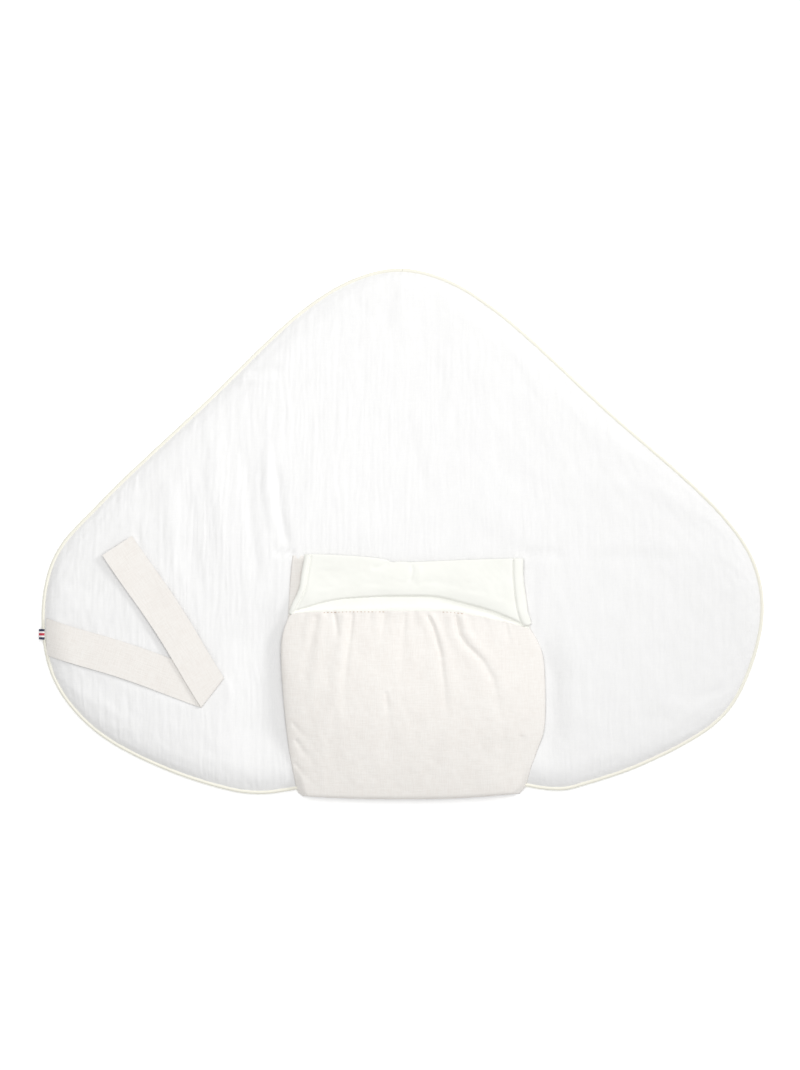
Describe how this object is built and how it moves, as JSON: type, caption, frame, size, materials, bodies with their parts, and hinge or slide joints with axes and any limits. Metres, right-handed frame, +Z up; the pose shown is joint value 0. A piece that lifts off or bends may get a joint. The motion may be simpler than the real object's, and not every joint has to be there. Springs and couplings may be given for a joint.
{
  "type": "baby swaddle wrap",
  "caption": "Padded, piped triangular swaddling blanket with a gathered linen foot pouch, a turn-down jersey cuff and a folded fastening strap.",
  "frame": {"origin": "on the face it lies on, under the centre of its box", "axes": "+X across the wings, +Y from the foot pouch to the head corner, +Z up from the back to the face"},
  "size_m": [0.9059, 0.664, 0.0411],
  "materials": {
    "cotton_gauze": "white crinkled double cotton gauze",
    "polyester_wadding": "lofted polyester wadding",
    "ivory_bias": "ivory cotton sateen bias strip",
    "cotton_cord": "twisted cotton cord",
    "white_jersey": "fine ivory-white cotton jersey",
    "natural_linen": "washed natural linen, slubby plain weave",
    "fastener_tape": "woven hook-and-loop tape",
    "striped_ribbon": "grosgrain ribbon with plain stripes"
  },
  "bodies": {
    "centre": {"back_cover_centre": "cotton_gauze", "wadding_centre": "polyester_wadding", "face_cover_centre": "cotton_gauze", "piping_cover_centre": "ivory_bias", "piping_cord_centre": "cotton_cord", "pouch_back": "natural_linen", "pouch_lining": "white_jersey", "pouch_wadding": "polyester_wadding", "pouch_front": "natural_linen"},
    "left_wing": {"back_cover_left": "cotton_gauze", "wadding_left": "polyester_wadding", "face_cover_left": "cotton_gauze", "piping_cover_left": "ivory_bias", "piping_cord_left": "cotton_cord", "loop_patch": "fastener_tape", "side_label": "striped_ribbon"},
    "right_wing": {"back_cover_right": "cotton_gauze", "wadding_right": "polyester_wadding", "face_cover_right": "cotton_gauze", "piping_cover_right": "ivory_bias", "piping_cord_right": "cotton_cord"},
    "strap_root": {"strap_root": "natural_linen"},
    "strap_tail": {"strap_tail": "natural_linen", "hook_patch": "fastener_tape"},
    "cuff": {"cuff_inner": "white_jersey", "cuff_outer": "white_jersey", "cuff_binding_left": "white_jersey", "cuff_binding_right": "white_jersey"}
  },
  "joints": [
    {"name": "left_wing_fold", "type": "hinge", "parent": "centre", "child": "left_wing", "pos_m": [-0.158, 0, 0.0155], "axis": [0, 1, 0], "range_deg": [0, 120]},
    {"name": "right_wing_fold", "type": "hinge", "parent": "centre", "child": "right_wing", "pos_m": [0.187, 0, 0.0155], "axis": [0, 1, 0], "range_deg": [-120, 0]},
    {"name": "strap_swing", "type": "hinge", "parent": "left_wing", "child": "strap_root", "pos_m": [-0.4413, -0.128, 0.0122], "axis": [0, -1, 0], "range_deg": [0, 175]},
    {"name": "strap_unfold", "type": "hinge", "parent": "strap_root", "child": "strap_tail", "pos_m": [-0.2374, -0.1975, 0.01703], "axis": [0.6122, 0.7907, 0], "range_deg": [0, 165]},
    {"name": "cuff_turn_down", "type": "hinge", "parent": "centre", "child": "cuff", "pos_m": [0.012, -0.0997, 0.027], "axis": [1, 0, 0], "range_deg": [0, 150]}
  ]
}
